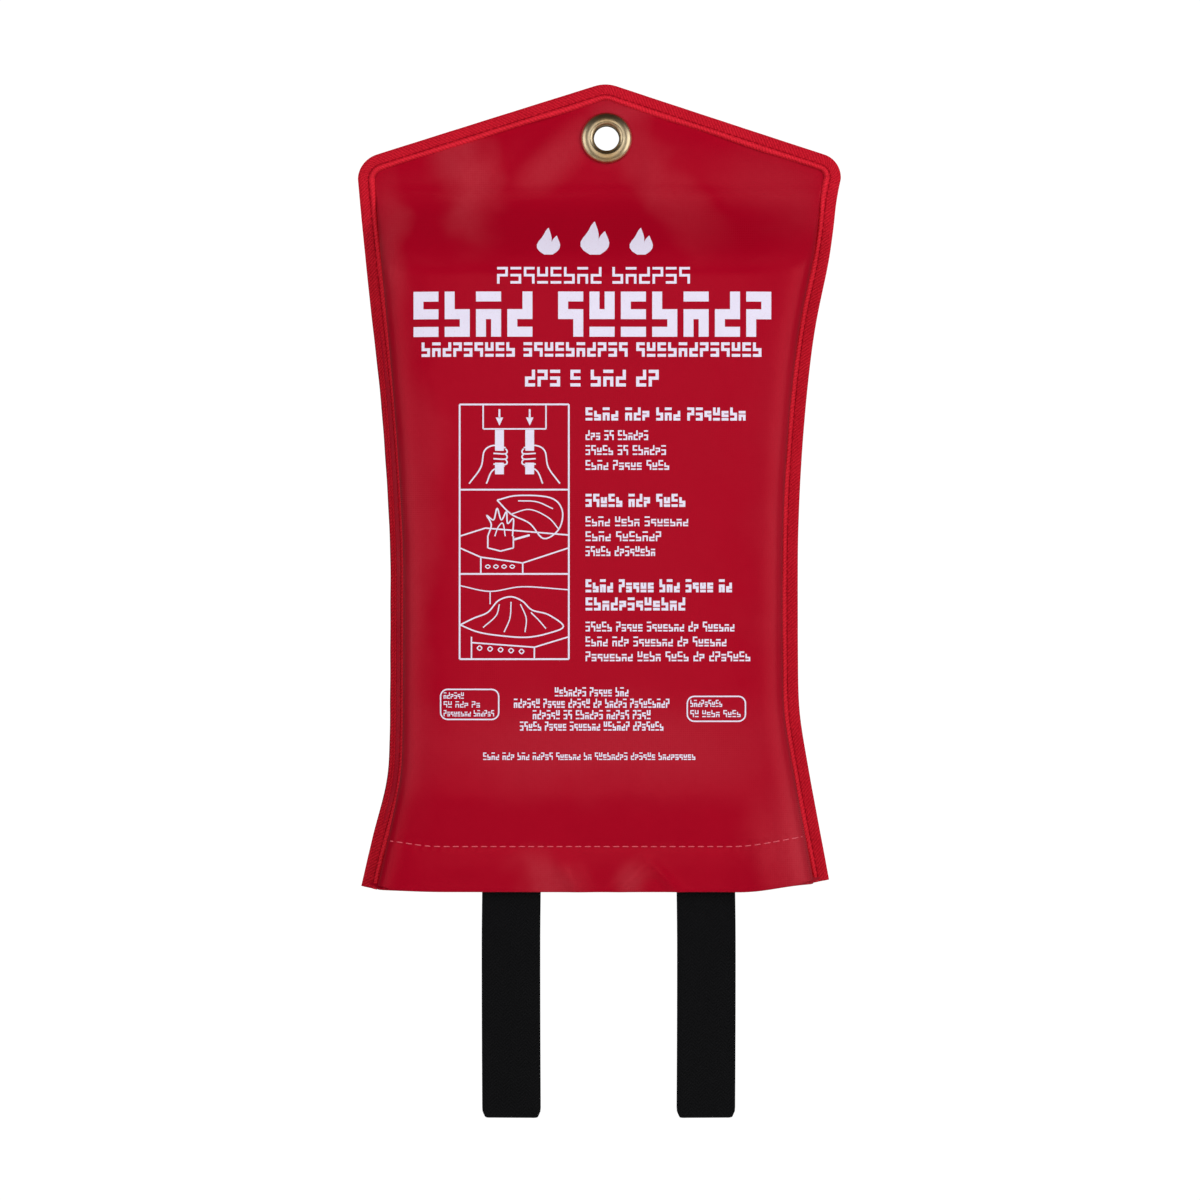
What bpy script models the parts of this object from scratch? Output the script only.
"""A fire blanket in a soft hanging pouch.

The pouch is two panels of coated fabric, joined by a binding tape that runs up one side,
over the gabled top and down the other side. Its mouth is at the bottom, and it hangs from
a brass eyelet. The blanket inside is pleated into a flat bundle, with two loops of webbing
sewn to its leading edge. Pulled by the loops, it slides down and out of the mouth.

Frame: metres, +Z up, the origin in the middle of the eyelet's hole. The front faces -Y,
and the plane Y = 0 is where the edges of the two panels meet.
"""

import math
from collections import namedtuple

import bmesh
import bpy

# Driving dimensions, in metres ---------------------------------------------------------

# The blanket: its cut size, and how often it is folded each way.
BLANKET_WIDTH = 1.2
BLANKET_LENGTH = 1.8
LAYERS_ACROSS = 8
PLEATS_ALONG = 8
CLOTH_THICKNESS = 0.00043
PLEAT_CROWN = 0.005

# The pull straps: one length of webbing each, folded into a flat loop.
STRAP_WIDTH = 0.025
STRAP_THICKNESS = 0.0013
STRAP_SPACING = 0.0824
STRAP_OVERLAP = 0.045
STRAP_DROP = 0.096

# The box of stitches that holds each strap: its margins on the overlap, and where the
# thread starts up its left side.
STITCH_SIDE_MARGIN = 0.003
STITCH_LOW_MARGIN = 0.006
STITCH_TOP_MARGIN = 0.004
STITCH_START = 0.002

# The pouch's fabric, tape and thread.
PANEL_THICKNESS = 0.0005
TAPE_THICKNESS = 0.0005
BINDING_WIDTH = 0.007
BINDING_STITCH_INSET = 0.0055
THREAD_RADIUS = 0.0002
HEM_STITCH_HEIGHT = 0.019
HEM_FLAP_HEIGHT = 0.023
HEM_FOLD_RADIUS = 0.0005
BACK_HEM_RECESS = 0.0016

# The pouch's shape round the bundle.
SIDE_ROOM = 0.0049
SHOULDER_FLARE = 0.0164
SHOULDER_POWER = 1.7
MOUTH_FLARE = 0.0123
TOP_ROOM = 0.049
MOUTH_ROOM = 0.039
WAIST_BELOW_TOP = 0.125
WAIST_ABOVE_BOTTOM = 0.043
GABLE_ANGLE = math.radians(18)
SHOULDER_RADIUS = 0.011
APEX_RADIUS = 0.010
BULGE_MARGIN = 0.002

# The brass eyelet and its washer.
EYELET_HOLE_RADIUS = 0.0054
EYELET_FLANGE_RADIUS = 0.011
EYELET_WALL = 0.0004
EYELET_CROWN = 0.0016
EYELET_ROLL_RADIUS = 0.0009
EYELET_ROOM = 0.0053
WASHER_THICKNESS = 0.0006
WASHER_RADIUS = 0.0103

# Gaps: between pieces that touch, round the bundle, and from the binding to the bulge.
GAP = 0.0003
BUNDLE_CLEARANCE = 0.0008
SEAM_GAP = 0.0008
MOUTH_CLEARANCE = 0.0008

# Fineness of the meshes.
PANEL_ROWS = 20
PANEL_HALF_COLUMNS = 9
SIDE_STEPS = 16
ARC_STEPS = 5
TURN_STEPS = 32
SLOPE_STEP = 0.001
SMOOTHED_ANGLE = math.radians(40)

# Sizes that follow from them ------------------------------------------------------------

BUNDLE_HALF_WIDTH = BLANKET_WIDTH / LAYERS_ACROSS / 2
BUNDLE_HEIGHT = BLANKET_LENGTH / PLEATS_ALONG
PLEAT_THICKNESS = CLOTH_THICKNESS * LAYERS_ACROSS
BUNDLE_HALF_THICKNESS = PLEAT_THICKNESS * PLEATS_ALONG / 2

BUNDLE_TOP = -EYELET_FLANGE_RADIUS - TOP_ROOM
BUNDLE_BOTTOM = BUNDLE_TOP - BUNDLE_HEIGHT
MOUTH = BUNDLE_BOTTOM - MOUTH_ROOM
WAIST_TOP = BUNDLE_TOP - WAIST_BELOW_TOP
WAIST_BOTTOM = BUNDLE_BOTTOM + WAIST_ABOVE_BOTTOM
APEX = EYELET_FLANGE_RADIUS + EYELET_ROOM + BINDING_WIDTH

SEAM_INSET = BINDING_WIDTH + SEAM_GAP
EDGE_INSET = TAPE_THICKNESS + GAP
WAIST_HALF_WIDTH = BUNDLE_HALF_WIDTH + SIDE_ROOM + SEAM_INSET
SHOULDER_HALF_WIDTH = WAIST_HALF_WIDTH + SHOULDER_FLARE

# The gable is the line on which x sin(angle) + z cos(angle) = GABLE_OFFSET, and it meets the
# apex arc and the shoulder arcs at their tangents.
GABLE_SIN = math.sin(GABLE_ANGLE)
GABLE_COS = math.cos(GABLE_ANGLE)
GABLE_OFFSET = (APEX - APEX_RADIUS) * GABLE_COS + APEX_RADIUS
SHOULDER_CENTRE_X = SHOULDER_HALF_WIDTH - SHOULDER_RADIUS
SHOULDER = (GABLE_OFFSET - SHOULDER_RADIUS - GABLE_SIN * SHOULDER_CENTRE_X) / GABLE_COS

# Distances from the plane Y = 0 of the middles of the fabric layers.
PANEL_FLAT = GAP / 2 + PANEL_THICKNESS / 2
TAPE_FLAT = PANEL_FLAT + PANEL_THICKNESS / 2 + GAP + TAPE_THICKNESS / 2
STRAP_BACK = BUNDLE_HALF_THICKNESS + GAP + STRAP_THICKNESS / 2
STRAP_FRONT = STRAP_BACK + STRAP_THICKNESS + GAP
STRAP_STITCH = STRAP_FRONT + STRAP_THICKNESS / 2 + GAP + THREAD_RADIUS
HEM_FLAP_LIFT = -2 * HEM_FOLD_RADIUS

BULGE_START = min(SHOULDER, -EYELET_FLANGE_RADIUS) - BULGE_MARGIN
BULGE_FULL = BUNDLE_TOP - BULGE_MARGIN
LIFTED_SHARE = 0.975

Panel = namedtuple("Panel", "name side flat power")
FRONT = Panel("front_panel", -1, 0.0, 4)
BACK = Panel("back_panel", 1, 0.5, 4)


# Objects and materials -------------------------------------------------------------------

def clear_scene():
    """Start from an empty scene."""
    for thing in list(bpy.data.objects):
        bpy.data.objects.remove(thing, do_unlink=True)


def finish(name, colour, roughness, metallic=0.0):
    """A plain Principled material."""
    material = bpy.data.materials.new(name)
    material.use_nodes = True
    shader = material.node_tree.nodes["Principled BSDF"]
    shader.inputs["Base Color"].default_value = (*colour, 1.0)
    shader.inputs["Roughness"].default_value = roughness
    shader.inputs["Metallic"].default_value = metallic
    return material


def add_object(name, data, material):
    """Put a mesh or a curve in the scene under the sub-part's name."""
    thing = bpy.data.objects.new(name, data)
    data.materials.append(material)
    bpy.context.scene.collection.objects.link(thing)
    return thing


def mesh_from(bm, name):
    """Turn a bmesh into a mesh whose faces all point outwards."""
    bmesh.ops.recalc_face_normals(bm, faces=bm.faces)
    mesh = bpy.data.meshes.new(name)
    bm.to_mesh(mesh)
    bm.free()
    mesh.shade_smooth()
    mesh.set_sharp_from_angle(angle=SMOOTHED_ANGLE)
    return mesh


def sheet_profile(centreline, thickness):
    """The closed outline of a thin sheet in section, from the line along its middle."""
    left, right = [], []
    last = len(centreline) - 1
    for i, (a, b) in enumerate(centreline):
        before = centreline[max(i - 1, 0)]
        after = centreline[min(i + 1, last)]
        length = math.hypot(after[0] - before[0], after[1] - before[1])
        across_a = -(after[1] - before[1]) / length * thickness / 2
        across_b = (after[0] - before[0]) / length * thickness / 2
        left.append((a + across_a, b + across_b))
        right.append((a - across_a, b - across_b))
    return left + right[::-1]


def turned(name, profile, material):
    """A ring turned about the Y axis, from a closed profile of (radius, y) points."""
    bm = bmesh.new()
    ring = [bm.verts.new((radius, y, 0)) for radius, y in profile]
    edges = [bm.edges.new(pair) for pair in zip(ring, ring[1:] + ring[:1])]
    bmesh.ops.spin(bm, geom=ring + edges, axis=(0, 1, 0), angle=math.tau, steps=TURN_STEPS)
    bmesh.ops.remove_doubles(bm, verts=bm.verts, dist=0.00001)
    return add_object(name, mesh_from(bm, name), material)


def extruded(name, profile, left, right, material):
    """A closed profile of (y, z) points, extruded along X from left to right."""
    bm = bmesh.new()
    face = bm.faces.new([bm.verts.new((left, y, z)) for y, z in profile])
    moved = bmesh.ops.extrude_face_region(bm, geom=[face])["geom"]
    verts = [part for part in moved if isinstance(part, bmesh.types.BMVert)]
    bmesh.ops.translate(bm, verts=verts, vec=(right - left, 0, 0))
    return add_object(name, mesh_from(bm, name), material)


def thread(name, points, material):
    """A sewing thread laid through the points as a thin tube with filled ends."""
    curve = bpy.data.curves.new(name, "CURVE")
    curve.dimensions = "3D"
    curve.bevel_depth = THREAD_RADIUS
    curve.bevel_resolution = 0
    curve.use_fill_caps = True
    spline = curve.splines.new("POLY")
    spline.points.add(len(points) - 1)
    for point, place in zip(spline.points, points):
        point.co = (*place, 1.0)
    return add_object(name, curve, material)


# The pouch's outline ---------------------------------------------------------------------

def smooth(share):
    """Ease from 0 to 1 with level ends."""
    share = min(max(share, 0.0), 1.0)
    return share * share * (3 - 2 * share)


def half_width(z):
    """Half the pouch's width at a height: it narrows to the waist and flares to the mouth."""
    if z > WAIST_TOP:
        share = (min(z, SHOULDER) - WAIST_TOP) / (SHOULDER - WAIST_TOP)
        return WAIST_HALF_WIDTH + SHOULDER_FLARE * share ** SHOULDER_POWER
    return WAIST_HALF_WIDTH + MOUTH_FLARE * smooth((WAIST_BOTTOM - z) / (WAIST_BOTTOM - MOUTH))


def seam_half_width(z):
    """Half the width between the side seams, where the panels start to bulge."""
    return half_width(z) - SEAM_INSET


def top_edge(x, inset):
    """Height of the top edge at x, moved inwards by inset: apex arc, gable, shoulder arc."""
    x = abs(x)
    apex_radius = APEX_RADIUS - inset
    shoulder_radius = SHOULDER_RADIUS - inset
    if x < apex_radius * GABLE_SIN:
        return APEX - APEX_RADIUS + math.sqrt(apex_radius ** 2 - x ** 2)
    if x < SHOULDER_CENTRE_X + shoulder_radius * GABLE_SIN:
        return (GABLE_OFFSET - inset - GABLE_SIN * x) / GABLE_COS
    run = min(x - SHOULDER_CENTRE_X, shoulder_radius)
    return SHOULDER + math.sqrt(shoulder_radius ** 2 - run ** 2)


def half_outline():
    """The right half of the pouch's outer edge, from the mouth to the apex, as
    (x, z, inward x, inward z) stations."""
    stations = []
    for i in range(SIDE_STEPS):
        z = MOUTH + (SHOULDER - MOUTH) * i / SIDE_STEPS
        rise = half_width(z + SLOPE_STEP) - half_width(z - SLOPE_STEP)
        slope = rise / (2 * SLOPE_STEP)
        length = math.hypot(1, slope)
        stations.append((half_width(z), z, -1 / length, slope / length))
    for i in range(ARC_STEPS + 1):
        angle = (math.pi / 2 - GABLE_ANGLE) * i / ARC_STEPS
        cos, sin = math.cos(angle), math.sin(angle)
        x = SHOULDER_CENTRE_X + SHOULDER_RADIUS * cos
        stations.append((x, SHOULDER + SHOULDER_RADIUS * sin, -cos, -sin))
    for i in range(ARC_STEPS):
        angle = GABLE_ANGLE * (1 - i / ARC_STEPS)
        cos, sin = math.cos(angle), math.sin(angle)
        z = APEX - APEX_RADIUS + APEX_RADIUS * cos
        stations.append((APEX_RADIUS * sin, z, -sin, -cos))
    return stations


def outline():
    """The whole outer edge, from the right mouth corner over the apex to the left one."""
    right = half_outline()
    left = [(-x, z, -across, up) for x, z, across, up in reversed(right)]
    return right + [(0.0, APEX, 0.0, -1.0)] + left


# The panels ------------------------------------------------------------------------------

def section(panel, share):
    """The bulge's shape across the pouch, 1 in the middle and 0 at the seams."""
    run = max(abs(share) - panel.flat, 0.0) / (1 - panel.flat)
    return max(1 - run ** panel.power, 0.0) ** (1 / panel.power)


def full_depth(panel):
    """How far the bulge stands out where the bundle fills the pouch."""
    reach = BUNDLE_HALF_THICKNESS + BUNDLE_CLEARANCE + PANEL_THICKNESS / 2
    corner = section(panel, BUNDLE_HALF_WIDTH / seam_half_width(WAIST_TOP))
    return reach / corner


def mouth_depth(panel):
    """How far the bulge stands out at the mouth. In front it is clear of the straps and of the
    hem inside. Behind it stands back from the wall, so that the hem's thread doesn't touch."""
    if panel.side > 0:
        return full_depth(panel) - BACK_HEM_RECESS
    hem = 2 * HEM_FOLD_RADIUS + PANEL_THICKNESS / 2 + GAP + 2 * THREAD_RADIUS
    reach = STRAP_STITCH + THREAD_RADIUS + MOUTH_CLEARANCE + hem
    strap_edge = (STRAP_SPACING + STRAP_WIDTH) / 2
    return reach / section(panel, strap_edge / seam_half_width(MOUTH))


def depth(panel, z):
    """How far the bulge stands out at a height."""
    full = max(full_depth(panel), mouth_depth(panel))
    rise = smooth((BULGE_START - z) / (BULGE_START - BULGE_FULL))
    fall = smooth((BUNDLE_BOTTOM - z) / (BUNDLE_BOTTOM - MOUTH))
    return full * rise + (mouth_depth(panel) - full) * fall


def panel_y(panel, share, z):
    """Y of the middle of a panel's fabric, at a share of the seam's half width."""
    return panel.side * (PANEL_FLAT + depth(panel, z) * section(panel, share))


def lifted_point(panel, share, z, lift):
    """A point at a share of the seam's half width, lifted off the middle of the fabric."""
    half = seam_half_width(z)
    step = SLOPE_STEP / half
    run = 2 * SLOPE_STEP
    rise = panel_y(panel, share + step, z) - panel_y(panel, share - step, z)
    length = math.hypot(run, rise)
    out_x = -rise / length * panel.side
    out_y = run / length * panel.side
    return (share * half + out_x * lift, panel_y(panel, share, z) + out_y * lift, z)


def column_shares():
    """Shares of the half width at which a panel has columns, closer near the seams."""
    steps = range(-PANEL_HALF_COLUMNS, PANEL_HALF_COLUMNS + 1)
    return [math.sin(math.pi / 2 * i / PANEL_HALF_COLUMNS) for i in steps]


def skin_row(panel, share_up):
    """One row of the outer skin, level at the mouth and following the gable at the top."""
    side_z = MOUTH + (SHOULDER - MOUTH) * share_up
    edge = (half_width(side_z) - EDGE_INSET) / seam_half_width(side_z)
    row = []
    for share in [-edge] + column_shares() + [edge]:
        x = share * seam_half_width(side_z)
        z = side_z + (top_edge(x, EDGE_INSET) - SHOULDER) * share_up ** 3
        row.append((x, panel_y(panel, share, z) + panel.side * PANEL_THICKNESS / 2, z))
    return row


def hem_rows(panel):
    """The outer skin of the hem turned up inside the mouth, from its raw edge to the fold."""
    outside = PANEL_THICKNESS / 2
    flap = HEM_FLAP_LIFT - outside
    places = [(flap, MOUTH + HEM_FLAP_HEIGHT), (flap, MOUTH)]
    radius = HEM_FOLD_RADIUS + outside
    for i in (3, 2, 1):
        angle = math.pi * i / 4
        lift = outside - radius * (1 - math.cos(angle))
        places.append((lift, MOUTH - radius * math.sin(angle)))
    shares = [share for share in column_shares() if abs(share) < LIFTED_SHARE]
    return [[lifted_point(panel, share, z, lift) for share in shares] for lift, z in places]


def add_panel(panel, cutter, material):
    """A panel with its hem, given its thickness inwards and then its eyelet hole."""
    bm = bmesh.new()
    skin = [
        [bm.verts.new(point) for point in skin_row(panel, i / PANEL_ROWS)]
        for i in range(PANEL_ROWS + 1)
    ]
    hem = [[bm.verts.new(point) for point in row] for row in hem_rows(panel)]
    spare = (len(skin[0]) - len(hem[0])) // 2
    strips = list(zip(skin, skin[1:])) + list(zip(hem, hem[1:]))
    strips.append((hem[-1], skin[0][spare:-spare]))
    for lower, upper in strips:
        for i in range(len(lower) - 1):
            bm.faces.new((lower[i], lower[i + 1], upper[i + 1], upper[i]))
    thing = add_object(panel.name, mesh_from(bm, panel.name), material)
    thickness = thing.modifiers.new("thickness", "SOLIDIFY")
    thickness.thickness = PANEL_THICKNESS
    thickness.offset = -1
    thickness.use_even_offset = True
    hole = thing.modifiers.new("eyelet_hole", "BOOLEAN")
    hole.operation = "DIFFERENCE"
    hole.object = cutter


def eyelet_hole_cutter():
    """A guide cylinder for the holes that the eyelet passes through."""
    bm = bmesh.new()
    radius = EYELET_HOLE_RADIUS + EYELET_WALL + GAP
    through = 4 * (PANEL_FLAT + PANEL_THICKNESS)
    bmesh.ops.create_cone(
        bm, cap_ends=True, segments=TURN_STEPS, radius1=radius, radius2=radius, depth=through
    )
    mesh = bpy.data.meshes.new("eyelet_hole_cutter")
    bm.to_mesh(mesh)
    bm.free()
    cutter = bpy.data.objects.new("eyelet_hole_cutter", mesh)
    bpy.context.scene.collection.objects.link(cutter)
    cutter.rotation_euler = (math.pi / 2, 0, 0)
    cutter.hide_render = True
    cutter.display_type = "WIRE"
    return cutter


# The binding and the sewing --------------------------------------------------------------

def add_binding(material):
    """The tape folded over the panels' edges, swept along the outline."""
    flat = TAPE_FLAT
    bend = flat - TAPE_THICKNESS / 2
    middle = TAPE_THICKNESS / 2
    centreline = [(BINDING_WIDTH, -flat), (middle + bend / 2, -flat), (middle, -bend / 2)]
    centreline += [(inset, -y) for inset, y in reversed(centreline)]
    profile = sheet_profile(centreline, TAPE_THICKNESS)
    bm = bmesh.new()
    rings = []
    for x, z, across, up in outline():
        rings.append([bm.verts.new((x + across * d, y, z + up * d)) for d, y in profile])
    for ring, after in zip(rings, rings[1:]):
        for i in range(len(ring)):
            j = (i + 1) % len(ring)
            bm.faces.new((ring[i], ring[j], after[j], after[i]))
    bm.faces.new(rings[0][::-1])
    bm.faces.new(rings[-1])
    add_object("edge_binding", mesh_from(bm, "edge_binding"), material)


def add_binding_thread(name, side, material):
    """The lockstitch's thread on one face of the binding."""
    y = side * (TAPE_FLAT + TAPE_THICKNESS / 2 + GAP + THREAD_RADIUS)
    inset = BINDING_STITCH_INSET
    points = [(x + across * inset, y, z + up * inset) for x, z, across, up in outline()]
    thread(name, points, material)


def add_hem_thread(name, panel, lift, material):
    """The hem's thread on one face of a panel, from seam to seam."""
    z = MOUTH + HEM_STITCH_HEIGHT
    shares = [share for share in column_shares() if abs(share) < LIFTED_SHARE]
    thread(name, [lifted_point(panel, share, z, lift) for share in shares], material)


def add_strap_stitching(name, centre, material):
    """The thread that sews a strap's two legs to the blanket: a box with a diagonal."""
    left = centre - STRAP_WIDTH / 2 + STITCH_SIDE_MARGIN
    right = centre + STRAP_WIDTH / 2 - STITCH_SIDE_MARGIN
    low = BUNDLE_BOTTOM + STITCH_LOW_MARGIN
    high = BUNDLE_BOTTOM + STRAP_OVERLAP - STITCH_TOP_MARGIN
    corners = [
        (left, low + STITCH_START), (left, high), (right, high), (right, low),
        (left + STITCH_START, low), (right - STITCH_START, high - STITCH_START),
    ]
    thread(name, [(x, -STRAP_STITCH, z) for x, z in corners], material)


# The blanket and its straps --------------------------------------------------------------

def bundle_profile():
    """The pleated bundle in section: a row of rounded folds above and below."""
    radius = PLEAT_THICKNESS / 2
    folds = []
    for up in (1, -1):
        for i in range(PLEATS_ALONG):
            y = -up * (-BUNDLE_HALF_THICKNESS + PLEAT_THICKNESS * (i + 0.5))
            crown = PLEAT_CROWN * (y / BUNDLE_HALF_THICKNESS) ** 2
            edge = BUNDLE_TOP - crown if up > 0 else BUNDLE_BOTTOM
            for quarter in (0.5, 1.0, 1.5, 2.0, 2.5, 3.0, 3.5):
                angle = math.pi * quarter / 4
                across = up * radius * math.cos(angle)
                folds.append((y + across, edge - up * radius * (1 - math.sin(angle))))
    return folds


def strap_profile():
    """A strap in section: down its front leg, round the fold, and up its back leg."""
    top = BUNDLE_BOTTOM + STRAP_OVERLAP
    bottom = MOUTH - STRAP_DROP
    fold_radius = (STRAP_FRONT - STRAP_BACK) / 2
    fold_z = bottom + STRAP_THICKNESS / 2 + fold_radius
    middle = -(STRAP_FRONT + STRAP_BACK) / 2
    centreline = [(-STRAP_FRONT, top)]
    for i in range(ARC_STEPS + 1):
        angle = math.pi * i / ARC_STEPS
        along = fold_z - fold_radius * math.sin(angle)
        centreline.append((middle - fold_radius * math.cos(angle), along))
    centreline.append((-STRAP_BACK, top))
    return sheet_profile(centreline, STRAP_THICKNESS)


# The eyelet ------------------------------------------------------------------------------

def eyelet_profile():
    """The eyelet in section: crowned flange, barrel, and the roll that grips the washer."""
    neck = EYELET_HOLE_RADIUS + EYELET_WALL / 2
    rim = EYELET_FLANGE_RADIUS - EYELET_WALL / 2
    seat = PANEL_FLAT + PANEL_THICKNESS / 2 + GAP
    flange_y = seat + EYELET_WALL / 2
    roll_y = seat + WASHER_THICKNESS + GAP + EYELET_WALL / 2
    centreline = []
    for i in range(2 * ARC_STEPS - 1):
        angle = math.pi * i / (2 * ARC_STEPS - 2)
        radius = (rim + neck) / 2 + (rim - neck) / 2 * math.cos(angle)
        centreline.append((radius, -flange_y - EYELET_CROWN * math.sin(angle)))
    for i in range(ARC_STEPS):
        angle = math.pi * i / (ARC_STEPS - 1)
        radius = neck + EYELET_ROLL_RADIUS * (1 - math.cos(angle))
        centreline.append((radius, roll_y + EYELET_ROLL_RADIUS * math.sin(angle)))
    return sheet_profile(centreline, EYELET_WALL)


def washer_profile():
    """The washer in section: a flat ring with a softened rim on its outer face."""
    near = PANEL_FLAT + PANEL_THICKNESS / 2 + GAP
    far = near + WASHER_THICKNESS
    inner = EYELET_HOLE_RADIUS + EYELET_WALL + GAP
    soft = WASHER_THICKNESS / 2
    return [
        (inner, near), (WASHER_RADIUS, near), (WASHER_RADIUS, far - soft),
        (WASHER_RADIUS - soft, far), (inner, far),
    ]


def build():
    """Make every sub-part."""
    clear_scene()
    coated_fabric = finish("coated_fabric_red", (0.33, 0.012, 0.025), 0.38)
    binding_tape = finish("binding_tape_red", (0.45, 0.02, 0.03), 0.75)
    sewing_thread = finish("sewing_thread_red", (0.35, 0.02, 0.03), 0.6)
    webbing = finish("webbing_black", (0.008, 0.008, 0.009), 0.8)
    black_thread = finish("sewing_thread_black", (0.01, 0.01, 0.01), 0.7)
    glass_cloth = finish("coated_glass_cloth", (0.75, 0.74, 0.7), 0.7)
    brass = finish("brass", (0.6, 0.42, 0.2), 0.3, 1.0)

    cutter = eyelet_hole_cutter()
    add_panel(FRONT, cutter, coated_fabric)
    add_panel(BACK, cutter, coated_fabric)
    add_binding(binding_tape)
    add_binding_thread("binding_needle_thread", FRONT.side, sewing_thread)
    add_binding_thread("binding_bobbin_thread", BACK.side, sewing_thread)
    outside = PANEL_THICKNESS / 2 + GAP + THREAD_RADIUS
    for panel, word in ((FRONT, "front"), (BACK, "back")):
        add_hem_thread(f"{word}_hem_needle_thread", panel, outside, sewing_thread)
        inside = HEM_FLAP_LIFT - outside
        add_hem_thread(f"{word}_hem_bobbin_thread", panel, inside, sewing_thread)
    turned("eyelet", eyelet_profile(), brass)
    turned("eyelet_washer", washer_profile(), brass)

    extruded("fire_blanket", bundle_profile(), -BUNDLE_HALF_WIDTH, BUNDLE_HALF_WIDTH, glass_cloth)
    for word, side in (("left", -1), ("right", 1)):
        centre = side * STRAP_SPACING / 2
        left = centre - STRAP_WIDTH / 2
        right = centre + STRAP_WIDTH / 2
        extruded(f"pull_strap_{word}", strap_profile(), left, right, webbing)
        add_strap_stitching(f"strap_stitching_{word}", centre, black_thread)


build()
